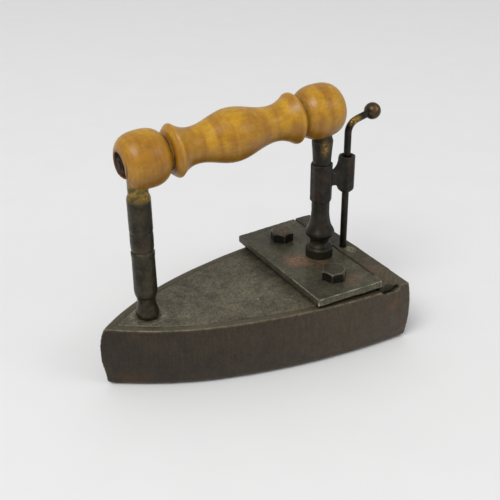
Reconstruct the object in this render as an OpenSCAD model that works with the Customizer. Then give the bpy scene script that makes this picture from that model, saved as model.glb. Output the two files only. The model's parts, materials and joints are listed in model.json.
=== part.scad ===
// Box iron: a hollow cast body that a heated slug slides into from the rear.
// A drop gate closes the rear. It hangs on a lifting rod that runs in a guide on the rear post.
// Millimetres, +Z up, nose towards -X, gate towards +X, origin on the sole's face at mid-length.

/* [Body] */
// Length of the body along its top edge, nose to rear
body_len = 181.5; // [175:0.5:190]
// Half of the angle between the two sides at the nose, in degrees
nose_angle = 39.5; // [38:0.5:41]
// Plan radius of each side, next to the nose
nose_arc_r = 178; // [174:1:182]
// Plan radius of each side, farther back
side_arc_r = 370; // [360:2:380]
// Height of the side walls
body_h = 39; // [37:0.5:41]
// How far the walls bulge out at mid-height
wall_bulge = 2.2; // [1:0.1:3]
// Radius that turns the walls in under the body
foot_round = 5.2; // [3:0.1:6]
// Wall thickness beside the deck
rim_t = 5; // [4:0.1:6]
// Wall thickness beside the slug chamber
wall_t = 7; // [6.5:0.1:8]
// Thickness of the sole plate
sole_t = 5.5; // [4:0.1:6]
// Thickness of the deck plate
deck_t = 4; // [3:0.1:5]

/* [Rear cover] */
// Length of the rear cover plate along X
cover_len = 45.5; // [42:0.5:47]
// Width of the rear cover plate along its front edge
cover_w = 96; // [90:0.2:96]
// Thickness of the rear cover plate
cover_t = 4.3; // [3:0.1:5]
// Thickness of the packing under the cover
packing_t = 3.4; // [2:0.1:4]
// How far the packing stands back from the cover's edges
packing_inset = 2.8; // [1:0.1:4]

/* [Gate] */
// Thickness of the gate along X
gate_t = 11.8; // [10:0.1:12]
// Centre of the gate, along X
gate_x = 76.5; // [76:0.1:77]
// Centre of the lifting rod and its guide, along X
rod_x = 75; // [74.5:0.1:75.6]
// Height of the gate's top edge above the sole
gate_top = 47.6; // [46:0.1:49]
// Flat clearance round the gate in its grooves
gate_gap = 0.35; // [0.3:0.05:0.5]
// Radius of the lifting rod
rod_r = 2.2; // [1.8:0.05:2.4]
// Radius of the knob on the lifting rod
knob_r = 5.2; // [4.5:0.1:5.5]

/* [Posts] */
// X of the front post
front_x = -63.2; // [-65:0.1:-62]
// X of the rear post
rear_x = 56.4; // [56:0.1:57]
// Radius of the threaded stems under both posts
stem_r = 4; // [3.5:0.1:4.5]
// Radius of both posts where they enter the grip
neck_r = 5.8; // [5:0.1:6]

/* [Grip] */
// Distance between the centres of the two ball ends
ball_span = 109.8; // [109:0.2:114]
// Largest radius of the ball ends
ball_r = 16.1; // [15:0.1:17]
// Radius at the middle of the grip
belly_r = 15.4; // [14:0.1:16.5]
// Radius of the two waists
waist_r = 10.5; // [9.5:0.1:12]
// Radius of the two flange crests
crest_r = 15.2; // [14:0.1:15.5]
// Height of the grip's centre above the sole
grip_z = 139.5; // [138:0.1:142]
// Upward slope of the grip towards the rear, in degrees
grip_tilt = 3.4; // [2:0.1:4]

/* [Fasteners] */
// Half-spacing of the cover bolts across the body
bolt_y = 30; // [28:0.5:32]
// X of the cover bolts
bolt_x = 47.1; // [46:0.1:48]
// Corner radius of the bolts' hexagon heads
bolt_head_r = 7.9; // [7:0.1:8.4]
// Height of the bolts' heads
bolt_head_h = 6.5; // [4:0.1:7]

/* [Hidden] */

smooth = 96;                                  // facets on small round work
nose_x = -body_len / 2;                       // the nose along the top edge
tail_x = body_len / 2;                        // the rear end
join_angle = 17.2;                            // where the two plan arcs of a side meet
// Centres of the left side's two plan arcs; the right side is their mirror image.
nose_c = [nose_x + nose_arc_r * sin(nose_angle), -nose_arc_r * cos(nose_angle)];
side_c = nose_c + (nose_arc_r - side_arc_r) * [-sin(join_angle), cos(join_angle)];
half_w = side_c[1] + side_arc_r;              // half of the body's width along its top edge
arc_fn = 480;                                 // facets on the plan arcs

groove_front = gate_x - gate_t / 2 - gate_gap;
groove_rear = gate_x + gate_t / 2 + gate_gap;
groove_half_w = 46.2;                         // half-width across the two gate grooves
heel_half_w = 40;                             // half-width of the opening behind the gate
lintel_z = 32.5;                              // top of that opening
heel_z = body_h + 0.9;                        // top of the frame behind the gate
head_z = body_h + 1.4;                        // underside of the gate's head
head_left = 50.4;                             // the head's square end, from the centre plane
head_right = 48.2;                            // the head's sloped end, from the centre plane
slope_w = 9;                                  // width of that end's slope
slope_h = 5;
notch_depth = 1.5;                            // how far the wall tops are let down under the head

deck_z = body_h - deck_t;                     // underside of the deck
cover_rear = groove_front - 0.15;             // rear edge of the cover plate
cover_front = cover_rear - cover_len;
cover_z = body_h + packing_t;                 // underside of the cover plate
cover_top = cover_z + cover_t;
cover_shift = 0.6;                            // how far the cover sits towards the left
cover_flare = [3, 0.8];                       // how far the left and right edges run out towards the rear

nut_t = 5;                                    // thickness of the nuts under the deck
nut_r = 7.4;                                  // corner radius of those nuts
stem_end = deck_z - nut_t - 1;                // lower end of the posts' threaded stems
hole_slack = 0.1;                             // radial play of stems and bolts in their holes
bolt_r = 3.9;                                 // radius of the cover bolts' shanks

rest_h = 3;                                   // height of the slug rests
rest_w = 5;
rest_y = 16;
slug_z = sole_t + rest_h + 0.1;
slug_h = 18.5;
slug_inset = wall_t + 2.5;                    // gap round the slug, from the body's top outline
slug_rear = groove_front - 3.4;
slug_hole_r = 5;                              // hole for the hook that draws the slug out

grip_x = -2.6;                                // centre of the grip along X
ball_half = 15.5;                             // half-length of a ball towards its free end
front_ball = 55.4;                            // grip centre to the centre of the front ball
ball_inner = [0.9, 0.96];                       // front and rear ball's length towards the groove, as a share
belly_at = -2.8;                              // grip centre to the middle of the belly
waist_at = [26.7, 23];                        // grip centre to the front and the rear waist
crest_at = [38.1, 36.6];                      // grip centre to the front and the rear flange crest
flange_run = 3.6;                             // crest to the flange's groove side
flange_edge_r = 12.6;
groove_run = 1.2;                             // the flange's groove side to the bottom of the groove
groove_r = 9.4;
slot_r = neck_r + 0.2;                        // radius of the sockets for the posts' necks
mouth_r = 7.2;                                // half-width of the mouths at the ball ends
core_r = 2.5;                                 // radius of the grip's core rod
core_half = 70.4;                             // half-length of the core rod
core_nut_t = 3;
core_nut_r = 4.9;

collar_z = 84.8;                              // lower end of the guide bracket
collar_h = 24.6;
sleeve_z = 86.7;                              // lower end of the guide sleeve
sleeve_h = 23.8;
collar_r = 6.9;                               // corner radius of the octagonal collar
sleeve_r = 5.4;                               // corner radius of the octagonal sleeve
shaft_r = 5.6;                                // rear post's shaft inside the collar
guide_play = 0.1;                             // radial running clearance of the rod in its guide

rod_bend_z = 125;                             // height at which the lifting rod starts to bend
rod_bend_r = 8;
rod_bend = 75;                                // how far the rod bends, in degrees
rod_tail = 12;                                // straight end of the rod, up to the knob's centre
rod_seat = 12;                                // how deep the rod is screwed into the gate

// Outward swell of the wall at height z, measured from the top outline.
mid_z = (body_h + foot_round) / 2;
function swell(z) =
    z >= foot_round
    ? wall_bulge * (1 - pow(abs(z - mid_z) / (body_h - mid_z), z > mid_z ? 2.6 : 2))
    : -foot_round * (1 - sqrt(1 - pow(1 - z / foot_round, 2)));

wall_heights = concat([for (i = [0:5]) foot_round * (1 - cos(15 * i))],
                      [for (i = [0:12]) foot_round + (body_h - foot_round) * i / 12]);
wall_profile = [for (i = [0:len(wall_heights) - 1])
                if (i == 0 || wall_heights[i] > wall_heights[i - 1] + 0.01)
                [swell(wall_heights[i]), wall_heights[i]]];

// Ball outline from the groove to the free end: a slightly squared circle, squarer at the free end.
function ball_squareness(u) = u > 0 ? 3 : 2.4;
function ball_radius(u) = ball_r * pow(1 - pow(abs(u), ball_squareness(u)), 1 / ball_squareness(u));

// One end of the grip, from the belly outwards, as [distance from the grip's centre, radius].
function grip_end(belly, waist, crest, ball, inner) = concat(
    [for (i = [0:13]) [belly + (waist - belly) * i / 13,
                       (belly_r + waist_r) / 2 + (belly_r - waist_r) / 2 * cos(180 * i / 13)]],
    [for (i = [1:7]) [waist + (crest - waist) * i / 7,
                      waist_r + (crest_r - waist_r) * pow(i / 7, 2.1)]],
    [[crest + 0.8, crest_r - 0.1], [crest + flange_run, flange_edge_r],
     [crest + flange_run + groove_run, groove_r]],
    [for (a = [-58:10:82]) [ball + ball_half * sin(a) * (a < 0 ? inner : 1), ball_radius(sin(a))]],
    [[ball + ball_half, 0]]);
front_end = grip_end(-belly_at, waist_at[0], crest_at[0], front_ball, ball_inner[0]);
rear_end = grip_end(belly_at, waist_at[1], crest_at[1], ball_span - front_ball, ball_inner[1]);

module hex(r, h) { cylinder(r = r, h = h, $fn = 6); }
module round_bar(r, h) { cylinder(r = r, h = h, $fn = smooth); }
module both_sides() { children(); mirror([0, 1, 0]) children(); }

// Moves its children to the grip's centre and turns X along the grip.
module on_grip() { translate([grip_x, 0, grip_z]) rotate([0, -grip_tilt, 0]) children(); }

// Turned work about a vertical axis, from a list of [radius, height].
module turned(profile) {
    rotate_extrude($fn = smooth)
        polygon(concat([[0, profile[0][1]]], profile, [[0, profile[len(profile) - 1][1]]]));
}

// The part of the plane ahead of (-1) or behind (1) the line where the left side's two arcs meet.
module plan_part(end) {
    translate(nose_c) rotate(join_angle)
        translate([end < 0 ? -300 : 0, -300]) square([300, 700]);
}

// The left side's outline, moved inwards by inset, as a large flat disc.
module left_plan(inset) {
    intersection() {
        translate(nose_c) circle(r = nose_arc_r - inset, $fn = arc_fn);
        plan_part(-1);
    }
    intersection() {
        translate(side_c) circle(r = side_arc_r - inset, $fn = 2 * arc_fn);
        plan_part(1);
    }
}

// The body's plan outline, moved inwards by inset and cut off at x = end.
module plan(inset, end) {
    run_end = min(end, side_c[0]);
    intersection() {
        left_plan(inset);
        mirror([0, 1]) left_plan(inset);
        translate([nose_x - 10, -half_w]) square([run_end - nose_x + 10, 2 * half_w]);
    }
    if (end > run_end)
        translate([run_end, inset - half_w]) square([end - run_end, 2 * (half_w - inset)]);
}

// A turned disc whose rim carries the wall's bulge and foot radius.
module rim_disc(centre, r, facets) {
    translate([centre[0], centre[1], 0]) rotate_extrude($fn = facets)
        polygon(concat([[0, 0]], [for (p = wall_profile) [r + p[0], p[1]]], [[0, body_h]]));
}

module left_disc() {
    intersection() {
        rim_disc(nose_c, nose_arc_r, arc_fn);
        linear_extrude(body_h) plan_part(-1);
    }
    intersection() {
        rim_disc(side_c, side_arc_r, 2 * arc_fn);
        linear_extrude(body_h) plan_part(1);
    }
}

module body_blank() {
    intersection() {
        left_disc();
        mirror([0, 1, 0]) left_disc();
        translate([nose_x - 20, -half_w - 10, 0])
            cube([side_c[0] - nose_x + 20, 2 * half_w + 20, body_h]);
    }
    translate([side_c[0], 0, 0]) rotate([90, 0, 90]) linear_extrude(tail_x - side_c[0])
        polygon(concat([for (p = wall_profile) [half_w + p[0], p[1]]],
                       [for (i = [len(wall_profile) - 1:-1:0])
                        [-half_w - wall_profile[i][0], wall_profile[i][1]]]));
}

// Walls, nose and rear frame in one casting, with a ledge for the deck and grooves for the gate.
module side_wall() {
    color("#4b433b") difference() {
        union() {
            body_blank();
            translate([groove_rear, -half_w, body_h - 1])
                cube([tail_x - groove_rear, 2 * half_w, heel_z - body_h + 1]);
        }
        translate([0, 0, -1]) linear_extrude(body_h + 1.5) plan(wall_t, groove_rear);
        translate([0, 0, deck_z]) linear_extrude(deck_t + 1) plan(rim_t, groove_front + 1);
        translate([groove_front, -groove_half_w, sole_t])
            cube([groove_rear - groove_front, 2 * groove_half_w, body_h]);
        translate([groove_front, -half_w - 10, body_h - notch_depth])
            cube([groove_rear - groove_front, 2 * half_w + 20, 10]);
        translate([groove_rear - 1, -heel_half_w, -1])
            cube([20, 2 * heel_half_w, lintel_z + 1]);
    }
}

// Sole, let in between the walls and level with their lower edges.
module sole_plate() {
    color("#5a5148") {
        linear_extrude(sole_t) union() {
            plan(wall_t, groove_rear);
            translate([groove_rear - 1, -heel_half_w]) square([tail_x - groove_rear + 1, 2 * heel_half_w]);
        }
    }
}

// Two bars that keep the slug off the sole.
module slug_rests() {
    color("#4f463d") both_sides()
        translate([-22, rest_y - rest_w / 2, sole_t]) cube([80, rest_w, rest_h]);
}

// Cast slug that is heated in the fire, with a hole at its rear for the hook.
module heating_slug() {
    color("#3f3833") difference() {
        translate([0, 0, slug_z]) linear_extrude(slug_h) plan(slug_inset, slug_rear);
        translate([slug_rear - 13, 0, slug_z - 1]) round_bar(slug_hole_r, slug_h + 2);
    }
}

// Deck, let in on a ledge between the walls.
module deck_plate() {
    color("#5d574d") difference() {
        translate([0, 0, deck_z]) linear_extrude(deck_t) plan(rim_t + 0.15, groove_front - 0.2);
        for (x = [front_x, rear_x])
            translate([x, 0, deck_z - 1]) round_bar(stem_r + hole_slack, deck_t + 2);
        both_sides() translate([bolt_x, bolt_y, deck_z - 1]) round_bar(bolt_r + hole_slack, deck_t + 2);
    }
}

// A slab under the rear post, with that post's hole and the two bolt holes.
module cover_slab(inset, thickness) {
    side = cover_w / 2 - inset;
    difference() {
        linear_extrude(thickness) translate([0, cover_shift])
            polygon([[cover_front + inset, -side], [cover_rear - inset, -side - cover_flare[1]],
                     [cover_rear - inset, side + cover_flare[0]], [cover_front + inset, side]]);
        translate([rear_x, 0, -1]) round_bar(stem_r + hole_slack, thickness + 2);
        both_sides() translate([bolt_x, bolt_y, -1]) round_bar(bolt_r + hole_slack, thickness + 2);
    }
}

module cover_packing() {
    color("#2e2a26") translate([0, 0, body_h]) cover_slab(packing_inset, packing_t);
}

module rear_cover_plate() {
    color("#625c50") translate([0, 0, cover_z]) cover_slab(0, cover_t);
}

// Hexagon-headed bolts through cover, packing and deck. The heads' top corners are turned off.
module cover_bolts() {
    color("#4c4740") both_sides() translate([bolt_x, bolt_y, cover_top]) {
        intersection() {
            rotate([0, 0, 12]) hex(bolt_head_r, bolt_head_h);
            turned([[bolt_head_r + 0.3, 0], [bolt_head_r + 0.3, bolt_head_h - 1.2],
                    [bolt_head_r - 1.5, bolt_head_h]]);
        }
        translate([0, 0, stem_end - cover_top]) round_bar(bolt_r, cover_top - stem_end + 2);
    }
}

module nut_under_deck(bore_r) {
    translate([0, 0, deck_z - nut_t]) difference() {
        hex(nut_r, nut_t);
        translate([0, 0, -1]) round_bar(bore_r, nut_t + 2);
    }
}

module cover_nuts() {
    color("#4c4740") both_sides() translate([bolt_x, bolt_y, 0]) nut_under_deck(bolt_r);
}

// A post's top: a plain neck inside the grip, cross-bored for the core rod.
module bored_neck(x, from_z, above_axis) {
    axis_z = grip_z + (x - grip_x) * tan(grip_tilt);
    difference() {
        translate([x, 0, from_z]) round_bar(neck_r, axis_z + above_axis - from_z);
        on_grip() translate([-core_half - 5, 0, 0]) rotate([0, 90, 0])
            round_bar(core_r + 0.05, 2 * core_half + 10);
    }
}

// Turned front post with a stem through the deck.
module front_post() {
    color("#5b5340") {
        translate([front_x, 0, 0]) turned([
            [stem_r, stem_end], [stem_r, body_h], [5.6, body_h], [6.3, 39.8], [7.1, 41.4], [6.9, 43],
            [6.1, 45.6], [5.5, 48], [5.4, 50], [5.7, 52.6], [6.5, 54.6], [6.8, 57], [6.65, 79.2],
            [6.85, 79.8], [6.85, 82], [6.2, 82.6], [6.2, 83.6], [6.6, 84.2], [6.75, 89], [6.6, 94],
            [6.4, 94.3], [6.4, 95], [6.75, 95.4], [6.75, 114.6], [6.4, 115.8], [neck_r, 117.2],
            [neck_r, 119]]);
        bored_neck(front_x, 119, 2);
    }
}

module front_post_nut() { color("#4c4740") translate([front_x, 0, 0]) nut_under_deck(stem_r); }

// Turned rear post with a stem through cover, packing and deck.
module rear_post() {
    color("#544c3b") {
        translate([rear_x, 0, 0]) turned([
            [stem_r, stem_end], [stem_r, cover_top], [8.6, cover_top], [8.6, 52.4], [8, 53.2],
            [7.3, 53.4], [7.3, 54.6], [6.2, 55.4], [5.8, 57], [6.1, 58.8], [7.6, 60.4], [8.9, 62],
            [9.3, 63.6], [8.9, 64.8], [7.4, 67.4], [6.5, 70], [5.9, 73.6], [5.6, 77.6],
            [shaft_r, 82], [shaft_r, 111], [neck_r, 115], [6.3, 121], [6.5, 124],
            [neck_r, 126], [neck_r, 127]]);
        bored_neck(rear_x, 127, 2);
    }
}

module rear_post_nut() { color("#4c4740") translate([rear_x, 0, 0]) nut_under_deck(stem_r); }

// Octagonal bar whose lower and upper corners are turned off.
module octagon_bar(r, h, bevel) {
    intersection() {
        rotate([0, 0, 22.5]) cylinder(r = r, h = h, $fn = 8);
        turned([[r - bevel, 0], [r + 0.1, bevel], [r + 0.1, h - 0.5], [r - 0.4, h]]);
    }
}

// Collar on the rear post, a web cut hollow above and below, and the sleeve that guides the rod.
module guide_bracket() {
    reach = rod_x - rear_x;
    web_t = 5.2;
    web_z = [2.8, 24];
    cut_x = 7;
    cut_r = [7.6, 6.6];
    cut_z = [1.2, 23.4];
    sleeve_top = sleeve_z - collar_z + sleeve_h;
    color("#4a4436") translate([rear_x, 0, collar_z]) difference() {
        union() {
            octagon_bar(collar_r, collar_h, 0.8);
            translate([reach, 0, sleeve_z - collar_z]) octagon_bar(sleeve_r, sleeve_h, 2.2);
            difference() {
                translate([shaft_r + 0.3, -web_t / 2, web_z[0]])
                    cube([reach - shaft_r - 2.4, web_t, web_z[1] - web_z[0]]);
                for (i = [0, 1])
                    translate([cut_x, web_t, cut_z[i]]) rotate([90, 0, 0])
                        round_bar(cut_r[i], 2 * web_t);
            }
        }
        translate([0, 0, -1]) round_bar(shaft_r + 0.02, collar_h + 2);
        translate([reach, 0, -1]) round_bar(rod_r + guide_play, sleeve_top + 2);
        translate([reach, 0, sleeve_top - 2.5])
            cylinder(r1 = rod_r + guide_play, r2 = 3.7, h = 2.6, $fn = smooth);
    }
}

// Threaded rod through the grip and both posts.
module grip_rod() {
    color("#57503f") on_grip() translate([-core_half, 0, 0]) rotate([0, 90, 0])
        round_bar(core_r, 2 * core_half);
}

// A hexagon nut at each end of the core rod, outside the posts and inside the grip's slots.
module grip_rod_nuts() {
    color("#57503f") on_grip() for (end = [-1, 1])
        translate([end < 0 ? front_x - grip_x - neck_r - 0.4 - core_nut_t
                           : rear_x - grip_x + neck_r + 0.4, 0, 0])
            rotate([0, 90, 0]) difference() {
                hex(core_nut_r, core_nut_t);
                translate([0, 0, -1]) round_bar(core_r, core_nut_t + 2);
            }
}

// Upright socket for a post's neck, open below, and a round-topped mouth from it to the ball's end.
module end_slot(post_t, end) {
    translate([end > 0 ? post_t : post_t - 30, 0, 0]) {
        rotate([0, 90, 0]) round_bar(mouth_r, 30);
        translate([0, -mouth_r, -30]) cube([30, 2 * mouth_r, 30]);
    }
    translate([post_t, 0, 0]) rotate([0, grip_tilt, 0]) translate([0, 0, -30])
        round_bar(slot_r, 30 + slot_r * 0.6);
}

// Turned wooden grip with a bore for the core rod and a slot in each ball end.
module wooden_grip() {
    color("#c08a35") on_grip() difference() {
        rotate([0, 90, 0]) rotate_extrude($fn = 2 * smooth)
            polygon(concat([for (i = [len(front_end) - 1:-1:1]) [front_end[i][1], -front_end[i][0]]],
                           [for (p = rear_end) [p[1], p[0]]]));
        translate([-80, 0, 0]) rotate([0, 90, 0]) round_bar(core_r + 0.1, 160);
        end_slot((front_x - grip_x) / cos(grip_tilt), -1);
        end_slot((rear_x - grip_x) / cos(grip_tilt), 1);
    }
}

// Drop gate: a thick plate in the wall grooves, with a wider head above the walls.
module gate() {
    body_half_w = groove_half_w - gate_gap;
    color("#564a40") difference() {
        translate([gate_x - gate_t / 2, 0, 0]) rotate([90, 0, 90]) linear_extrude(gate_t)
            polygon([[-body_half_w, sole_t + 0.2], [body_half_w, sole_t + 0.2], [body_half_w, head_z],
                     [head_left, head_z], [head_left, gate_top], [slope_w - head_right, gate_top],
                     [-head_right, gate_top - slope_h], [-head_right, head_z],
                     [-body_half_w, head_z]]);
        translate([rod_x, 0, gate_top - rod_seat]) round_bar(rod_r, rod_seat + 1);
    }
}

// Lifting rod: straight through its guide, then bent back to the knob.
module lifting_rod() {
    color("#4f4838") {
        translate([rod_x, 0, gate_top - rod_seat]) round_bar(rod_r, rod_bend_z - gate_top + rod_seat);
        translate([rod_x, 0, rod_bend_z]) sphere(r = rod_r + 0.03, $fn = smooth);
        translate([rod_x + rod_bend_r, 0, rod_bend_z]) rotate([90, 0, 0]) rotate([0, 0, 180 - rod_bend]) {
            rotate_extrude(angle = rod_bend, $fn = smooth)
                translate([rod_bend_r, 0]) circle(r = rod_r, $fn = smooth);
            translate([rod_bend_r, 0, 0]) rotate([90, 0, 0]) round_bar(rod_r, rod_tail - knob_r * 0.4);
        }
    }
}

// Ball knob, drilled for the rod's end.
module rod_knob() {
    color("#5a5138") translate([rod_x + rod_bend_r, 0, rod_bend_z]) rotate([90, 0, 0])
        rotate([0, 0, 180 - rod_bend]) translate([rod_bend_r, -rod_tail, 0]) difference() {
            sphere(r = knob_r, $fn = smooth);
            rotate([-90, 0, 0]) translate([0, 0, knob_r * 0.4]) round_bar(rod_r, knob_r);
        }
}

side_wall();
sole_plate();
slug_rests();
heating_slug();
deck_plate();
cover_packing();
rear_cover_plate();
cover_bolts();
cover_nuts();
front_post();
front_post_nut();
rear_post();
rear_post_nut();
guide_bracket();
grip_rod();
grip_rod_nuts();
wooden_grip();
gate();
lifting_rod();
rod_knob();
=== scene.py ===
import json
import math

import bmesh
import bpy
import numpy as np
from mathutils import Matrix, Vector, noise

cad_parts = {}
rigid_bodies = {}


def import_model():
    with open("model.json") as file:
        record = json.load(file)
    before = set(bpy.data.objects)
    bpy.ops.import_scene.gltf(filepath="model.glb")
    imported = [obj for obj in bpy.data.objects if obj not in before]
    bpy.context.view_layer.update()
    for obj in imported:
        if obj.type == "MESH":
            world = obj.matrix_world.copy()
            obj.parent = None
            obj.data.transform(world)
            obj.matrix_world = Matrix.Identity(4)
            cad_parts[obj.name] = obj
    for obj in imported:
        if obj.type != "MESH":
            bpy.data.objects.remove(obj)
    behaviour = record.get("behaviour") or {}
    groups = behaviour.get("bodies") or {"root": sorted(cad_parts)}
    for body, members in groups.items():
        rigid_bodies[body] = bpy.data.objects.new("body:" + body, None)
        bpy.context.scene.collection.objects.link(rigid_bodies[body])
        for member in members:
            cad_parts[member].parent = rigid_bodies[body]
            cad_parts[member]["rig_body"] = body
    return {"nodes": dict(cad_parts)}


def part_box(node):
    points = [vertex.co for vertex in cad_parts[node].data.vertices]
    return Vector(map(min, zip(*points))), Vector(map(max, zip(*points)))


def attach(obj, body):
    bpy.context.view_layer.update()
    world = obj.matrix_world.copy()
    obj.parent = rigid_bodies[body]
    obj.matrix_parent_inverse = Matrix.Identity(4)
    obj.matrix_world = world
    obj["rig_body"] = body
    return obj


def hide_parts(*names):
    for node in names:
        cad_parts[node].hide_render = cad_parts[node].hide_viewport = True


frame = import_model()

MM = 0.001
X, Y, Z = 0, 1, 2
GRIP_TILT = 3.4
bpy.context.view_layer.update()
scene = bpy.context.scene


# ---------------------------------------------------------------- camera, floor, light

AZIMUTH = -29.48
ELEVATION = 28.2
ROLL = -0.67
DISTANCE = 542.8 * MM
TARGET = Vector((18.14, 21.9, 50.0)) * MM
LENS = 61.2
SENSOR_WIDTH = 36


def add_camera():
    a = math.radians(AZIMUTH)
    e = math.radians(ELEVATION)
    r = math.radians(ROLL)
    back = Vector((math.sin(a) * math.cos(e), -math.cos(a) * math.cos(e), math.sin(e)))
    right = (-back).cross(Vector((0, 0, 1))).normalized()
    up = right.cross(-back)
    right, up = right * math.cos(r) + up * math.sin(r), up * math.cos(r) - right * math.sin(r)
    data = bpy.data.cameras.new("camera")
    data.lens = LENS
    data.sensor_width = SENSOR_WIDTH
    camera = bpy.data.objects.new("camera", data)
    scene.collection.objects.link(camera)
    turn = Matrix((right, up, back)).transposed().to_4x4()
    camera.matrix_world = Matrix.Translation(TARGET + back * DISTANCE) @ turn
    scene.camera = camera


def area_light(name, place, aim, size, power):
    data = bpy.data.lights.new(name, "AREA")
    data.shape = "DISK"
    data.size = size
    data.energy = power
    lamp = bpy.data.objects.new(name, data)
    scene.collection.objects.link(lamp)
    lamp.location = place
    lamp.rotation_euler = (Vector(aim) - Vector(place)).to_track_quat("-Z", "Y").to_euler()


# ---------------------------------------------------------------- node helpers

def linear(rgb):
    """An sRGB colour of 0 to 255 as linear RGBA."""
    out = []
    for v in rgb:
        c = v / 255
        out.append(c / 12.92 if c <= 0.04045 else ((c + 0.055) / 1.055) ** 2.4)
    return (*out, 1.0)


SEED_STEP = (37.0, 19.0, 53.0)


class Shade:
    """A material under construction. Lengths in its patterns are millimetres."""

    def __init__(self, name):
        self.mat = bpy.data.materials.new(name)
        self.mat.use_nodes = True
        self.tree = self.mat.node_tree
        self.tree.nodes.clear()
        self.out = self.tree.nodes.new("ShaderNodeOutputMaterial")
        self.shader = self.tree.nodes.new("ShaderNodeBsdfPrincipled")
        self.tree.links.new(self.shader.outputs[0], self.out.inputs[0])
        metres = self.tree.nodes.new("ShaderNodeTexCoord").outputs["Object"]
        self.mm = self.vector_math("MULTIPLY", metres, (1 / MM, 1 / MM, 1 / MM))

    def put(self, value, socket):
        if isinstance(value, bpy.types.NodeSocket):
            self.tree.links.new(value, socket)
        elif socket.type == "RGBA" and len(value) == 3:
            socket.default_value = linear(value)
        else:
            socket.default_value = value

    def vector_math(self, op, a, b):
        n = self.tree.nodes.new("ShaderNodeVectorMath")
        n.operation = op
        self.put(a, n.inputs[0])
        self.put(b, n.inputs[1])
        return n.outputs[0]

    def math(self, op, a, b=0.0, clamp=False):
        n = self.tree.nodes.new("ShaderNodeMath")
        n.operation = op
        n.use_clamp = clamp
        self.put(a, n.inputs[0])
        self.put(b, n.inputs[1])
        return n.outputs[0]

    def noise(self, size, detail=3.0, rough=0.55, warp=0.0, stretch=(1, 1, 1), at=None, seed=0.0):
        """Noise whose blobs are about size millimetres across, times stretch along each axis."""
        place = self.vector_math("ADD", at or self.mm, tuple(seed * s for s in SEED_STEP))
        scaled = self.vector_math("DIVIDE", place, tuple(size * s for s in stretch))
        n = self.tree.nodes.new("ShaderNodeTexNoise")
        n.inputs["Scale"].default_value = 1.0
        n.inputs["Detail"].default_value = detail
        n.inputs["Roughness"].default_value = rough
        n.inputs["Distortion"].default_value = warp
        self.put(scaled, n.inputs["Vector"])
        return n.outputs["Fac"]

    def step(self, value, low, high, a=0.0, b=1.0):
        """Goes smoothly from a at low to b at high."""
        n = self.tree.nodes.new("ShaderNodeMapRange")
        n.interpolation_type = "SMOOTHSTEP"
        self.put(value, n.inputs["Value"])
        self.put(low, n.inputs["From Min"])
        self.put(high, n.inputs["From Max"])
        self.put(a, n.inputs["To Min"])
        self.put(b, n.inputs["To Max"])
        return n.outputs[0]

    def mix(self, fac, a, b):
        n = self.tree.nodes.new("ShaderNodeMix")
        n.data_type = "RGBA"
        self.put(fac, n.inputs["Factor"])
        self.put(a, n.inputs[6])
        self.put(b, n.inputs[7])
        return n.outputs[2]

    def tint(self, colour, mask, share, other):
        """The colour taken towards another by share, where the mask is 1."""
        return self.mix(self.math("MULTIPLY", mask, share), colour, other)

    def attribute(self, name):
        n = self.tree.nodes.new("ShaderNodeAttribute")
        n.attribute_name = name
        return n.outputs["Fac"]

    def axis(self, which, at=None):
        n = self.tree.nodes.new("ShaderNodeSeparateXYZ")
        self.put(at or self.mm, n.inputs[0])
        return n.outputs[which]

    def facing(self, which):
        """How far the face looks along an axis, -1 to 1."""
        n = self.tree.nodes.new("ShaderNodeNewGeometry")
        return self.axis(which, n.outputs["Normal"])

    def scale(self, colour, by):
        """The colour times a number."""
        n = self.tree.nodes.new("ShaderNodeVectorMath")
        n.operation = "SCALE"
        self.put(colour, n.inputs[0])
        self.put(by, n.inputs["Scale"])
        return n.outputs[0]

    def spot(self, centre, radius, soft, squash=(1, 1, 1)):
        """1 inside an ellipsoid about centre, fading to 0 over soft millimetres."""
        off = self.vector_math("SUBTRACT", self.mm, tuple(centre))
        off = self.vector_math("DIVIDE", off, squash)
        n = self.tree.nodes.new("ShaderNodeVectorMath")
        n.operation = "LENGTH"
        self.put(off, n.inputs[0])
        return self.step(n.outputs["Value"], radius - soft, radius + soft, 1.0, 0.0)

    def bump(self, height, strength, depth, after=None):
        n = self.tree.nodes.new("ShaderNodeBump")
        n.inputs["Strength"].default_value = strength
        n.inputs["Distance"].default_value = depth * MM
        self.put(height, n.inputs["Height"])
        if after is not None:
            self.put(after, n.inputs["Normal"])
        return n.outputs[0]

    def finish(self, colour, rough, metallic, normal, **others):
        s = self.shader
        self.put(colour, s.inputs["Base Color"])
        self.put(rough, s.inputs["Roughness"])
        self.put(metallic, s.inputs["Metallic"])
        self.put(normal, s.inputs["Normal"])
        for key, value in others.items():
            self.put(value, s.inputs[key.replace("_", " ")])
        return self.mat


# ---------------------------------------------------------------- materials

GRIME = (20, 16, 12)
GRIME_SHARE = 0.65
SPECK_SHARE = 0.3
WORN_SHARE = 0.85
FINE_CONTRAST = 0.4
COARSE_CONTRAST = 0.2
IRON_METAL = 0.25
BRASS_METAL = 0.5
BARE_METAL = 0.5
RUBBED_BRASS = (128, 104, 58)
BROWN_PATINA = (74, 42, 20)
SOOT = (12, 10, 7)


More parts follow.
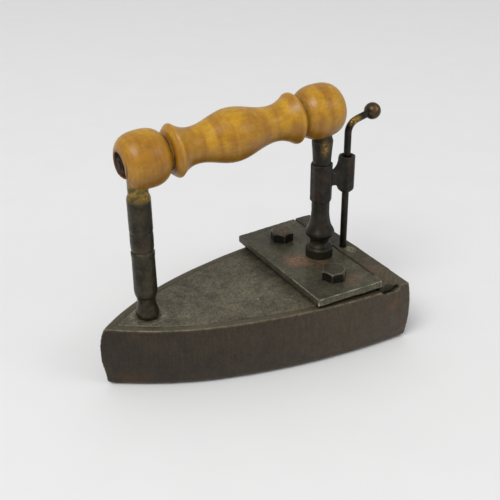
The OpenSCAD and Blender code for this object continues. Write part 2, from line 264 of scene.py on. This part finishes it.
def old_iron(name, dark, mid, light, rust, worn, rust_share=0.3, gloss=0.45, seed=0.0, wear=1.0,
             top=None, marks=None, wear_and_highlight_mask=None, calm=1.0, streaks=0.0, sand=0.75):
    """Oiled, long-oxidised iron: cloudy browns, fine cast grain, rust stains and bright worn edges, on
    the cover plate partly painted highlights.
    top gives lighter copies of dark, mid and light for faces that look up, painted light on the tops;
    marks adds stains and painted shade at known places."""
    m = Shade(name)
    clouds = m.noise(24, 4, 0.6, 0.4, seed=seed)
    clouds = m.step(clouds, 0.36, 0.64, 0.5 - 0.5 * calm, 0.5 + 0.5 * calm)
    blots = m.step(m.noise(6, 4, 0.62, 0.3, seed=seed + 1), 0.42, 0.72)
    blots = m.math("MULTIPLY", blots, 0.5 * calm)
    grain = m.noise(0.9, 3, 0.75, seed=seed + 2)
    colour = m.mix(blots, m.mix(clouds, dark, mid), light)
    if top:
        # Faces that look up take the lighter top colours: painted light on the tops.
        upward = m.step(m.facing(Z), 0.55, 0.85)
        lit_top_dark, lit_top_mid, lit_top_light = top
        colour = m.mix(upward, colour, m.mix(blots, m.mix(clouds, lit_top_dark, lit_top_mid), lit_top_light))
    stain = m.step(m.noise(13, 5, 0.65, 0.8, seed=seed + 3), 0.5, 0.74)
    colour = m.tint(colour, stain, rust_share, rust)
    speck = m.step(m.noise(1.3, 2, 0.5, seed=seed + 4), 0.68, 0.76)
    colour = m.tint(colour, speck, SPECK_SHARE, rust)
    if marks:
        colour = marks(m, colour)
    coarse = m.noise(1.7, 2, 0.6, seed=seed + 10)
    fine = FINE_CONTRAST * sand
    colour = m.scale(colour, m.step(grain, 0.32, 0.68, 1 - fine, 1 + fine))
    broad = COARSE_CONTRAST * sand
    colour = m.scale(colour, m.step(coarse, 0.34, 0.66, 1 - broad, 1 + broad))
    if streaks:
        run = m.noise(1.5, 3, 0.6, stretch=(1, 1, 14), seed=seed + 9)
        colour = m.scale(colour, m.step(run, 0.3, 0.7, 1 - streaks, 1 + streaks))
    patchy = m.step(m.noise(5, 4, 0.7, seed=seed + 5), 0.34, 0.6)
    edge = m.math("MULTIPLY", m.attribute("edge"), patchy)
    # On the cover plate this mask picks edges that are worn and also carry painted highlights.
    if wear_and_highlight_mask:
        edge = m.math("MULTIPLY", edge, wear_and_highlight_mask(m))
    sparkle = m.step(m.noise(0.45, 2, 0.6, seed=seed + 8), 0.35, 0.62, 0.35, 1.0)
    edge = m.math("MULTIPLY", m.math("MULTIPLY", edge, sparkle), wear)
    colour = m.tint(colour, edge, WORN_SHARE, worn)
    colour = m.tint(colour, m.attribute("cavity"), GRIME_SHARE, GRIME)
    rough = m.step(m.noise(5, 4, 0.65, seed=seed + 6), 0.3, 0.7, gloss, gloss + 0.2)
    rough = m.math("SUBTRACT", rough, m.math("MULTIPLY", edge, 0.12))
    normal = m.bump(m.noise(2.6, 3, 0.6, seed=seed + 7), 0.3, 0.12)
    normal = m.bump(grain, 0.55, 0.06, normal)
    metal = m.math("ADD", m.math("MULTIPLY", edge, BARE_METAL), IRON_METAL)
    return m.finish(colour, rough, metal, normal, Specular_IOR_Level=0.35)


def old_brass(name, bright_mask=None, dark=(26, 23, 16), mid=(48, 42, 29), olive=(66, 60, 38),
              bright=(176, 138, 62), gloss=0.34, seed=0.0):
    """Turned brass under a nearly black patina, rubbed back to metal in places."""
    m = Shade(name)
    clouds = m.noise(9, 4, 0.6, 0.5, stretch=(1, 1, 1.6), seed=seed)
    colour = m.mix(m.step(clouds, 0.35, 0.68), dark, mid)
    blots = m.step(m.noise(4, 4, 0.65, seed=seed + 1), 0.45, 0.75)
    colour = m.tint(colour, blots, 0.55, olive)
    brown = m.step(m.noise(7, 4, 0.6, 0.4, seed=seed + 2), 0.52, 0.72)
    colour = m.tint(colour, brown, 0.45, BROWN_PATINA)
    fine = m.step(m.noise(0.8, 3, 0.7, seed=seed + 7), 0.3, 0.7, 0.85, 1.15)
    colour = m.scale(colour, fine)
    patchy = m.step(m.noise(3, 3, 0.6, seed=seed + 3), 0.4, 0.66)
    edge = m.math("MULTIPLY", m.attribute("edge"), patchy)
    colour = m.tint(colour, edge, 0.35, RUBBED_BRASS)
    colour = m.tint(colour, m.attribute("cavity"), 0.7, SOOT)
    metal = BRASS_METAL
    lines = m.noise(0.35, 2, 0.6, stretch=(30, 30, 1), seed=seed + 4)
    rough = m.step(m.noise(3, 3, 0.6, seed=seed + 5), 0.3, 0.7, gloss, gloss + 0.2)
    if bright_mask:
        # On the front post this mask also holds a painted highlight.
        bare = bright_mask(m)
        colour = m.mix(bare, colour, bright)
        metal = m.math("ADD", m.math("MULTIPLY", bare, BARE_METAL), BRASS_METAL)
        rough = m.math("SUBTRACT", rough, m.math("MULTIPLY", bare, 0.16))
    normal = m.bump(m.noise(1.8, 3, 0.6, seed=seed + 6), 0.35, 0.08)
    normal = m.bump(lines, 0.3, 0.03, normal)
    return m.finish(colour, rough, metal, normal, Specular_IOR_Level=0.4)


HONEY = (166, 114, 6)
AMBER = (192, 142, 12)
DARK_BAND = (142, 86, 8)
PALE_BAND = (210, 164, 34)
FIBRE = (132, 82, 14)
FIGURE = (122, 72, 12)
LATHE_RING = (114, 66, 10)
UNDERSIDE_SHADE = (100, 60, 4)
END_GRAIN = (128, 78, 14)
GROOVE_GRIME_AND_SHADE = (58, 28, 6)
RUBBED_WOOD = (214, 164, 84)
BORE_SHADE = (60, 33, 16)


def grip_wood():
    """Close-grained varnished wood, turned: fibres along the grip, fine lathe rings and darker
    clouds across it."""
    m = Shade("grip_wood")
    turn = m.tree.nodes.new("ShaderNodeMapping")
    turn.vector_type = "POINT"
    turn.inputs["Rotation"].default_value = (0, math.radians(GRIP_TILT), 0)
    m.put(m.mm, turn.inputs["Vector"])
    along = turn.outputs[0]
    clouds = m.noise(20, 3, 0.55, 0.7, stretch=(0.8, 1.3, 1.3), at=along, seed=2)
    bands = m.noise(8, 3, 0.5, 0.25, stretch=(0.6, 4, 4), at=along, seed=6)
    fibres = m.noise(1.1, 4, 0.65, 0.2, stretch=(16, 1, 1), at=along, seed=7)
    figure = m.noise(3.2, 2, 0.5, 1.6, stretch=(2.5, 1, 1), at=along, seed=8)
    rings = m.noise(0.7, 2, 0.7, stretch=(1, 60, 60), at=along, seed=9)
    colour = m.mix(m.step(clouds, 0.36, 0.66), HONEY, AMBER)
    colour = m.tint(colour, m.step(bands, 0.48, 0.75), 0.5, DARK_BAND)
    colour = m.tint(colour, m.step(bands, 0.48, 0.28), 0.35, PALE_BAND)
    colour = m.tint(colour, m.step(fibres, 0.45, 0.75), 0.3, FIBRE)
    colour = m.tint(colour, m.step(figure, 0.55, 0.72), 0.14, FIGURE)
    colour = m.tint(colour, m.step(rings, 0.5, 0.75), 0.2, LATHE_RING)
    # Faces that look down are darkened: painted shade on the grip's underside.
    colour = m.tint(colour, m.step(m.facing(Z), 0.45, -0.85), 0.65, UNDERSIDE_SHADE)
    mottle = m.noise(2.6, 3, 0.6, stretch=(1.4, 1, 1), at=along, seed=14)
    colour = m.scale(colour, m.step(mottle, 0.34, 0.66, 0.9, 1.08))
    flat_end = m.step(m.math("ABSOLUTE", m.facing(X)), 0.45, 0.95)
    colour = m.tint(colour, flat_end, 0.3, END_GRAIN)
    # Hollows and grooves are darkened: grime, and painted shade in the grooves.
    colour = m.tint(colour, m.attribute("cavity"), 0.85, GROOVE_GRIME_AND_SHADE)
    colour = m.tint(colour, m.attribute("edge"), 0.18, RUBBED_WOOD)
    # The faces of the bore and sockets are darkened: painted shade inside the bore.
    colour = m.tint(colour, m.attribute("inside"), 0.9, BORE_SHADE)
    rough = m.step(m.noise(6, 3, 0.6, at=along, seed=11), 0.3, 0.7, 0.32, 0.42)
    normal = m.bump(rings, 0.25, 0.03)
    normal = m.bump(fibres, 0.12, 0.03, normal)
    return m.finish(colour, rough, 0.0, normal, Specular_IOR_Level=0.48, Coat_Weight=0.06,
                    Coat_Roughness=0.3)


# ---------------------------------------------------------------- meshes

WELD = 1e-6
ROUNDING_SHARE = 0.5
CREASE_SHARE = 0.6
CREASE_GAIN = 4.0
CREASE_FLOOR = 0.15
DENT_SHIFT = Vector((11.0, 7.0, 3.0))
DENT_ROUGHNESS = 0.9
DENT_LACUNARITY = 2.0
DENT_OCTAVES = 3


def laplacian(points, pairs, count, rounds, share):
    """Points moved towards their neighbours' mean, rounds times."""
    for _ in range(rounds):
        total = np.zeros_like(points)
        np.add.at(total, pairs[:, 0], points[pairs[:, 1]])
        np.add.at(total, pairs[:, 1], points[pairs[:, 0]])
        points = points + (total / count[:, None] - points) * share
    return points


def dent_depths(points, size, seed):
    """Fractal noise at each point, with hollows about size millimetres across."""
    start = DENT_SHIFT * seed
    out = []
    for p in points:
        place = Vector(p) / (size * MM) + start
        out.append(noise.fractal(place, DENT_ROUGHNESS, DENT_LACUNARITY, DENT_OCTAVES))
    return np.array(out)


def weathered(node, voxel, rounding, dents, dent_size, reach=4, seed=0.0, reshape=None, keep=None,
              inside=None):
    """A denser copy of a CAD node with rounded edges and slight dents, which replaces it.
    Its attributes edge, cavity and inside tell worn corners, grimy hollows and inner faces; on the
    grip, cavity also carries painted shade in the grooves, and inside carries painted shade in the
    bore.
    keep says where corners may wear, and reshape moves the finished points."""
    source = frame["nodes"][node]
    mesh = source.data.copy()
    work = bmesh.new()
    work.from_mesh(mesh)
    bmesh.ops.remove_doubles(work, verts=work.verts, dist=WELD)
    work.to_mesh(mesh)
    work.free()
    piece = bpy.data.objects.new(node + "_worn", mesh)
    scene.collection.objects.link(piece)
    remesh = piece.modifiers.new("remesh", "REMESH")
    remesh.mode = "VOXEL"
    remesh.voxel_size = voxel * MM
    remesh.use_smooth_shade = True
    view = bpy.context.evaluated_depsgraph_get()
    done = bpy.data.meshes.new_from_object(piece.evaluated_get(view))
    piece.modifiers.clear()
    piece.data = done
    n = len(done.vertices)
    points = np.empty(n * 3)
    done.vertices.foreach_get("co", points)
    points = points.reshape(-1, 3)
    ends = np.empty(len(done.edges) * 2, dtype=np.int64)
    done.edges.foreach_get("vertices", ends)
    pairs = ends.reshape(-1, 2)
    count = np.bincount(ends, minlength=n).astype(float)
    points = laplacian(points, pairs, count, rounding, ROUNDING_SHARE)
    done.vertices.foreach_set("co", points.ravel())
    done.update()
    normals = np.empty(n * 3)
    done.vertices.foreach_get("normal", normals)
    normals = normals.reshape(-1, 3)
    softer = laplacian(points, pairs, count, reach, CREASE_SHARE)
    inward = -np.einsum("ij,ij->i", softer - points, normals) / (voxel * MM)
    if keep:
        inward = np.where(inward > 0, inward * keep(points), inward)
    hidden = inside(points) if inside else np.zeros(n)
    points = points + normals * (dent_depths(points, dent_size, seed) * dents * MM)[:, None]
    if reshape:
        points = reshape(points)
    done.vertices.foreach_set("co", points.ravel())
    done.update()
    for name, value in (("edge", inward), ("cavity", -inward)):
        layer = done.attributes.new(name, "FLOAT", "POINT")
        crease = np.clip(value * CREASE_GAIN - CREASE_FLOOR, 0, 1)
        layer.data.foreach_set("value", crease.astype(np.float32))
    layer = done.attributes.new("inside", "FLOAT", "POINT")
    layer.data.foreach_set("value", hidden.astype(np.float32))
    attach(piece, source["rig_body"])
    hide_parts(node)
    return piece


def dress(node, material, slot, **wear):
    """A node's worn copy in its material."""
    piece = weathered(node, **wear)
    piece.data.materials.clear()
    piece.data.materials.append(material)


# ---------------------------------------------------------------- stage

FLOOR_HALF = 4.0
SKY_STRENGTH = 0.56
LIGHT_AIM = (0, 0, 0.05)

add_camera()

floor_mesh = bpy.data.meshes.new("floor")
floor_corners = [(-FLOOR_HALF, -FLOOR_HALF, 0), (FLOOR_HALF, -FLOOR_HALF, 0),
                 (FLOOR_HALF, FLOOR_HALF, 0), (-FLOOR_HALF, FLOOR_HALF, 0)]
floor_mesh.from_pydata(floor_corners, [], [(0, 1, 2, 3)])
floor = bpy.data.objects.new("floor", floor_mesh)
scene.collection.objects.link(floor)
paper = Shade("floor_paper")
paper_white = paper.mix(paper.noise(40, 2), (238, 238, 238), (242, 242, 242))
paper_grain = paper.bump(paper.noise(0.6, 2), 0.05, 0.02)
paper.finish(paper_white, 0.8, 0.0, paper_grain)
floor.data.materials.append(paper.mat)

world = bpy.data.worlds.new("studio")
scene.world = world
world.use_nodes = True
world.node_tree.nodes["Background"].inputs[0].default_value = (1, 1, 1, 1)
world.node_tree.nodes["Background"].inputs[1].default_value = SKY_STRENGTH
area_light("key", place=(-1.7, -1.0, 2.6), aim=LIGHT_AIM, size=1.8, power=50.0)
area_light("fill", place=(1.6, -2.0, 1.7), aim=LIGHT_AIM, size=1.4, power=9.0)
scene.view_settings.view_transform = "Standard"


# ---------------------------------------------------------------- marks on the iron

def middle_x(node):
    low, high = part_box(node)
    return (low[0] + high[0]) / 2 / MM


def top_z(node):
    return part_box(node)[1][2] / MM


front_x = middle_x("front_post")
rear_x = middle_x("rear_post")
rod_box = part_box("lifting_rod")
rod_radius = (rod_box[1][1] - rod_box[0][1]) / 2
rod_x = (rod_box[0][0] + rod_radius) / MM
gate_x = middle_x("gate")
knob_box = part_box("rod_knob")
knob_x = middle_x("rod_knob")
knob_z = (knob_box[0][2] + knob_box[1][2]) / 2 / MM
deck_top = top_z("deck_plate")
plate_top = top_z("rear_cover_plate")
bolt_top = top_z("cover_bolts")
gate_top = top_z("gate")

# Places in millimetres. A cloud is a place, its radius and its strength.
FOOT = (front_x, 0, deck_top)
RING_OUTER = 11.5
RING_INNER = 8.0
NOSE_END = -85.0
TAIL_END = 85.0
REAR_WALL_RUST = (77.6, -50, 29)
NOSE_FOOT_STAIN = (-79, -9, 6)
# WALL_GAP and GATE_GAP place painted shade for the dark gap by the gate's head.
WALL_GAP = (gate_x - 1.5, -48.0, 38.0)
GATE_GAP = (gate_x - 2.4, -47.8, gate_top - 6.2)
DECK_CLOUDS = (((24, 20, deck_top), 9, 0.3), ((24, -11, deck_top), 8, 0.16),
               ((-8, -13, deck_top), 7, 0.2))
DECK_PALE = (-3, 4, deck_top)
DECK_CHIPS = ((1.4, -16.8, deck_top), (20.8, -24.3, deck_top))
PLATE_CLOUDS = (((39.5, 0, plate_top), 7, 0.7), ((51, -10, plate_top), 5, 0.35),
                ((56, -37, plate_top), 6, 0.3))
PLATE_DARK = (36, -34, plate_top)
PLATE_FAR = 10.0
PLATE_NEAR = -26.0
GATE_RUST = (73.5, -37, gate_top)
ROD_FOOT = (rod_x + 1.2, -6, gate_top)
FAR_BOLT = (47, 30, bolt_top)

RING_PALE = (142, 136, 118)
TAIL_BROWN = (86, 75, 60)
WALL_RUST = (112, 68, 40)
STAIN_BROWN = (92, 62, 30)
DECK_DARK = (52, 50, 48)
DECK_LIGHT = (124, 118, 96)
CHIP_LIGHT = (188, 170, 142)
PLATE_RUST = (146, 102, 74)
PLATE_GREY = (56, 57, 56)
GATE_BROWN = (108, 76, 56)
ROD_FOOT_PALE = (158, 150, 110)
WALL_GAP_SHADE = (12, 10, 8)
GATE_GAP_SHADE = (10, 8, 7)
BOLT_RUST = (98, 70, 46)


def foot_ring(m, colour):
    """A pale ring of scoured metal round the front post's foot."""
    outer = m.spot(FOOT, RING_OUTER, 1.6)
    inner = m.spot(FOOT, RING_INNER, 0.8)
    patchy = m.step(m.noise(4, 4, 0.7, seed=60), 0.34, 0.6)
    ring = m.math("MULTIPLY", m.math("SUBTRACT", outer, inner, True), patchy)
    return m.tint(colour, ring, 0.5, RING_PALE)


def wall_marks(m, colour):
    """The wall is a paler brown towards the rear, with painted shade where the gate's head leaves a
    gap.
    """
    colour = m.mix(m.step(m.axis(X), NOSE_END, TAIL_END, 0.0, 0.45), colour, TAIL_BROWN)
    colour = foot_ring(m, colour)
    patchy = m.step(m.noise(3, 3, 0.6, seed=61), 0.35, 0.6)
    rusty = m.math("MULTIPLY", m.spot(REAR_WALL_RUST, 3.2, 3.0), patchy)
    colour = m.tint(colour, rusty, 0.45, WALL_RUST)
    # Painted shade of the gap by the gate's head.
    gap = m.spot(WALL_GAP, 2.4, 0.9, (2.0, 1, 0.8))
    colour = m.tint(colour, gap, 0.9, WALL_GAP_SHADE)
    low = m.spot(NOSE_FOOT_STAIN, 7, 6, (1.4, 1, 0.6))
    return m.tint(colour, low, 0.25, STAIN_BROWN)


def deck_marks(m, colour):
    """Dark clouds, one pale patch and two bright chips on the deck."""
    colour = foot_ring(m, colour)
    for at, size, share in DECK_CLOUDS:
        patchy = m.step(m.noise(6, 4, 0.6, seed=64), 0.3, 0.62)
        cloud = m.math("MULTIPLY", m.spot(at, size, size * 0.6), patchy)
        colour = m.tint(colour, cloud, share, DECK_DARK)
    patchy = m.step(m.noise(5, 4, 0.6, seed=66), 0.35, 0.65)
    pale = m.math("MULTIPLY", m.spot(DECK_PALE, 17, 12, (1.4, 1, 1)), patchy)
    colour = m.tint(colour, pale, 0.3, DECK_LIGHT)
    for at in DECK_CHIPS:
        colour = m.tint(colour, m.spot(at, 0.45, 0.3), 0.7, CHIP_LIGHT)
    return colour


def plate_marks(m, colour):
    """Rust in front of the rear post and by the near edge, and a dark patch before the near bolt."""
    for at, size, share in PLATE_CLOUDS:
        patchy = m.step(m.noise(5, 4, 0.6, 0.5, seed=68), 0.3, 0.6)
        rusty = m.math("MULTIPLY", m.spot(at, size, size * 0.9), patchy)
        colour = m.tint(colour, rusty, share, PLATE_RUST)
    patchy = m.step(m.noise(6, 3, 0.6, seed=70), 0.3, 0.6)
    dark = m.math("MULTIPLY", m.spot(PLATE_DARK, 11, 9), patchy)
    return m.tint(colour, dark, 0.4, PLATE_GREY)


def plate_wear_and_highlight(m):
    """The plate's near and front edges are rubbed bright and carry painted highlights, its far edge
    hardly.
    """
    return m.step(m.axis(Y), PLATE_FAR, PLATE_NEAR, 0.25, 1.0)


def gate_marks(m, colour):
    """Rust at the near end, a pale patch at the rod's foot and painted shade of the gap by the wall.
    """
    patchy = m.step(m.noise(4, 4, 0.6, seed=72), 0.32, 0.6)
    rusty = m.math("MULTIPLY", m.spot(GATE_RUST, 8, 7, (0.7, 1.4, 1)), patchy)
    colour = m.tint(colour, rusty, 0.6, GATE_BROWN)
    patchy = m.step(m.noise(2, 3, 0.6, seed=74), 0.36, 0.56)
    pale = m.math("MULTIPLY", m.spot(ROD_FOOT, 2.6, 1.4, (1, 1.6, 1)), patchy)
    colour = m.tint(colour, pale, 0.6, ROD_FOOT_PALE)
    # Painted shade of the gap by the wall.
    gap = m.spot(GATE_GAP, 2.0, 0.8, (2.0, 1, 0.8))
    return m.tint(colour, gap, 0.95, GATE_GAP_SHADE)


def bolt_marks(m, colour):
    """The far bolt's head is rusty on top."""
    upward = m.step(m.facing(Z), 0.6, 0.9)
    patchy = m.step(m.noise(3, 3, 0.6, seed=76), 0.3, 0.56)
    rusty = m.math("MULTIPLY", m.spot(FAR_BOLT, 6, 3), patchy)
    return m.tint(colour, m.math("MULTIPLY", rusty, upward), 0.7, BOLT_RUST)


# The wall's top colours are lighter copies for faces that look up: painted light.
wall_mat = old_iron("wall_iron", dark=(38, 32, 24), mid=(53, 45, 34), light=(64, 54, 41),
                    rust=(90, 58, 36), worn=(158, 146, 120), rust_share=0.14, gloss=0.4, seed=1,
                    wear=0.8, calm=0.55, streaks=0.12, sand=0.4,
                    top=((72, 66, 52), (92, 86, 68), (108, 100, 78)), marks=wall_marks)
top_mat = old_iron("deck_iron", dark=(74, 70, 58), mid=(97, 92, 75), light=(120, 113, 90),
                   rust=(106, 86, 60), worn=(150, 142, 116), rust_share=0.25, gloss=0.42, seed=5,
                   wear=0.15, sand=1.0, marks=deck_marks)
# The cover plate's near-white worn colour on its near edges is partly wear and partly painted
# highlight.
plate_mat = old_iron("cover_iron", dark=(58, 56, 44), mid=(80, 77, 60), light=(98, 94, 73),
                     rust=(112, 82, 58), worn=(228, 226, 212), rust_share=0.2, gloss=0.36, seed=9,
                     wear=1.4, marks=plate_marks, wear_and_highlight_mask=plate_wear_and_highlight)
gate_mat = old_iron("gate_iron", dark=(55, 53, 42), mid=(76, 73, 58), light=(92, 88, 69),
                    rust=(96, 66, 44), worn=(132, 122, 98), rust_share=0.25, seed=13, wear=0.4,
                    marks=gate_marks)
# The bolts' top colours are lighter copies for the heads' upper faces: painted light.
bolt_mat = old_iron("bolt_steel", dark=(17, 15, 12), mid=(26, 23, 18), light=(36, 32, 26),
                    rust=(54, 36, 22), worn=(190, 180, 156), rust_share=0.25, gloss=0.32, seed=17,
                    wear=0.9, top=((48, 46, 36), (66, 62, 48), (80, 75, 58)), marks=bolt_marks)
# The packing is coloured near-black: painted shade of the gap under the cover plate.
packing_shade_mat = old_iron("packing_iron", dark=(20, 17, 13), mid=(28, 24, 19), light=(38, 32, 26),
                       rust=(52, 32, 20), worn=(60, 52, 44), seed=21)
inner_mat = old_iron("inner_iron", dark=(36, 30, 24), mid=(50, 43, 34), light=(64, 55, 44),
                     rust=(88, 54, 32), worn=(110, 98, 80), seed=25)


# ---------------------------------------------------------------- bare places on the brass, and a painted highlight

BARE_FROM = 112.0
BARE_TO = 116.5
FRONT_HIGHLIGHT_SPOT = (front_x + 3.2, -6, 116.2)
REAR_SHINE = (rear_x - 1.8, -6.0, 121.0)
BEND_SHINE = (rod_x + 2.6, -1.4, top_z("lifting_rod") - 4.4)
KNOB_SHINE = (knob_x - 0.8, -3.8, knob_z + 2.6)


def front_bare_and_highlight(m):
    """The front post is rubbed bare in patches under the grip, and has a painted highlight near its
    top.
    """
    top = m.step(m.axis(Z), BARE_FROM, BARE_TO)
    patches = m.noise(5, 3, 0.55, 0.6, stretch=(1, 1, 0.7), seed=31)
    patches = m.step(patches, 0.38, 0.66, 0.1, 0.45)
    broken = m.step(m.noise(1.4, 3, 0.6, seed=32), 0.36, 0.6)
    # A painted highlight spot near the top of the front post.
    painted_highlight = m.math("MULTIPLY", m.spot(FRONT_HIGHLIGHT_SPOT, 2.6, 1.8, (1, 1, 1.3)), broken)
    return m.math("MULTIPLY", top, m.math("MAXIMUM", patches, painted_highlight))


def rear_bare(m):
    """A small bare patch high on the rear post."""
    broken = m.step(m.noise(1.5, 4, 0.7, 0.6, seed=34), 0.34, 0.62, 0.1, 0.8)
    return m.math("MULTIPLY", m.spot(REAR_SHINE, 2.2, 2.2, (0.9, 1.0, 2.0)), broken)


def rod_bare(m):
    """The rod is bare on its bend."""
    broken = m.step(m.noise(1.6, 3, 0.6, seed=35), 0.32, 0.58, 0.0, 0.85)
    return m.math("MULTIPLY", m.spot(BEND_SHINE, 3.4, 2.2, (1.3, 1, 0.8)), broken)


def knob_bare(m):
    """The knob is bare on its upper near side."""
    broken = m.step(m.noise(1.2, 3, 0.6, seed=37), 0.3, 0.6, 0.1, 0.8)
    return m.math("MULTIPLY", m.spot(KNOB_SHINE, 1.6, 1.4), broken)


front_mat = old_brass("post_brass_front", front_bare_and_highlight, dark=(31, 28, 20), mid=(56, 51, 37),
                      olive=(74, 70, 48), bright=(190, 154, 66), gloss=0.27, seed=2)
rear_mat = old_brass("post_brass_rear", rear_bare, dark=(24, 22, 17), mid=(42, 39, 30),
                     olive=(58, 55, 40), bright=(158, 128, 66), seed=6)
guide_mat = old_brass("guide_brass", dark=(25, 24, 20), mid=(40, 38, 32), olive=(56, 52, 42),
                      gloss=0.4, seed=11)
rod_mat = old_brass("rod_brass", rod_bare, dark=(20, 19, 14), mid=(32, 30, 22),
                    olive=(46, 43, 30), bright=(170, 138, 64), seed=15)
knob_mat = old_brass("knob_brass", knob_bare, dark=(36, 28, 18), mid=(70, 56, 38),
                     olive=(88, 73, 48), bright=(150, 118, 64), gloss=0.2, seed=19)
core_mat = old_brass("core_steel", dark=(34, 22, 14), mid=(52, 35, 22), olive=(60, 44, 28),
                     gloss=0.6, seed=23)
wood_mat = grip_wood()


# ---------------------------------------------------------------- shapes

NOSE_FROM = -52.0
NOSE_RUN = 34.0
FOOT_HEIGHT = 14.0
FOOT_FILL = 3.0
HEAD_FROM = 41.5
HEAD_FRONT = 2.0
HEAD_SHIFT = 0.3
SEAM_REACH = 1.5
SEAM_FILL = 0.32
RIM_FROM = 37.0
RIM_FADE = 1.6
RIM_FULL = 1.5
BORE_DEPTH = 1.6


def fuller_nose(points):
    """The foot is rounded off less at the nose than along the sides."""
    x = points[:, 0] / MM
    z = points[:, 2] / MM
    near_nose = np.clip((NOSE_FROM - x) / NOSE_RUN, 0, 1)
    low = np.clip(1 - z / FOOT_HEIGHT, 0, 1) ** 2
    points[:, 0] -= FOOT_FILL * MM * low * near_nose * near_nose
    points[:, 2] = np.maximum(points[:, 2], 0.0)
    return points


def closed_gap(points):
    """The gate's head stands close to the cover plate."""
    front = points[:, 0].min()
    high = points[:, 2] > HEAD_FROM * MM
    near = points[:, 0] < front + HEAD_FRONT * MM
    points[high & near, 0] -= HEAD_SHIFT * MM
    return points


def widest(x, spread):
    """For each point, the largest spread among the points in the same millimetre of x."""
    column = np.floor(x / MM).astype(int)
    column -= column.min()
    reach = np.zeros(column.max() + 1)
    np.maximum.at(reach, column, spread)
    return reach[column]


def closed_seam(points):
    """The deck plate fills its seat in the walls."""
    side = np.abs(points[:, 1])
    beside = widest(points[:, 0], side) - side < SEAM_REACH * MM
    points[beside, 1] += np.sign(points[beside, 1]) * SEAM_FILL * MM
    return points


def outer_rim(points):
    """1 along the body's outer top edge, 0 along the seam round the deck."""
    side = np.abs(points[:, 1])
    high = points[:, 2] > RIM_FROM * MM
    gap = widest(points[:, 0], np.where(high, side, 0.0)) - side
    return np.clip(RIM_FULL - gap / (RIM_FADE * MM), 0, 1)


def in_the_bore(points):
    """1 on the faces of the wood's bore and sockets, 0 on its turned outside."""
    turn = math.radians(GRIP_TILT)
    low = points.min(axis=0)
    high = points.max(axis=0)
    middle = (low + high) / 2
    x = points[:, 0] - middle[0]
    z = points[:, 2] - middle[2] - x * math.tan(turn)
    spread = np.hypot(points[:, 1], z)
    return np.clip((widest(x, spread) - spread) / MM - BORE_DEPTH, 0, 1)


# ---------------------------------------------------------------- build

dress("side_wall", wall_mat, "wall_iron", voxel=0.7, rounding=2, dents=0.12, dent_size=14,
      seed=1, reshape=fuller_nose, keep=outer_rim)
dress("deck_plate", top_mat, "deck_iron", voxel=0.6, rounding=1, dents=0.14, dent_size=18,
      seed=2, reshape=closed_seam)
dress("rear_cover_plate", plate_mat, "cover_iron", voxel=0.42, rounding=2, dents=0.16,
      dent_size=12, reach=2, seed=3)
dress("cover_packing", packing_shade_mat, "packing_iron", voxel=0.6, rounding=2, dents=0.1,
      dent_size=10, seed=4)
dress("gate", gate_mat, "gate_iron", voxel=0.55, rounding=2, dents=0.14, dent_size=12,
      seed=5, reshape=closed_gap)
dress("cover_bolts", bolt_mat, "bolt_steel", voxel=0.28, rounding=4, dents=0.1, dent_size=4,
      seed=6)
dress("front_post", front_mat, "post_brass", voxel=0.3, rounding=2, dents=0.03, dent_size=5,
      seed=7)
dress("rear_post", rear_mat, "post_brass", voxel=0.3, rounding=2, dents=0.05, dent_size=5,
      seed=8)
dress("guide_bracket", guide_mat, "guide_brass", voxel=0.3, rounding=3, dents=0.06, dent_size=5,
      seed=9)
dress("wooden_grip", wood_mat, "grip_wood", voxel=0.5, rounding=3, dents=0.05, dent_size=16,
      reach=7, seed=10, inside=in_the_bore)
dress("lifting_rod", rod_mat, "rod_brass", voxel=0.25, rounding=1, dents=0.03, dent_size=8,
      seed=11)
dress("rod_knob", knob_mat, "rod_brass", voxel=0.25, rounding=2, dents=0.03, dent_size=5,
      seed=12)

for name, material in (("sole_plate", inner_mat), ("slug_rests", inner_mat),
                       ("heating_slug", inner_mat), ("cover_nuts", bolt_mat),
                       ("front_post_nut", bolt_mat), ("rear_post_nut", bolt_mat),
                       ("grip_rod", core_mat), ("grip_rod_nuts", core_mat)):
    node = frame["nodes"][name]
    node.data.materials.clear()
    node.data.materials.append(material)
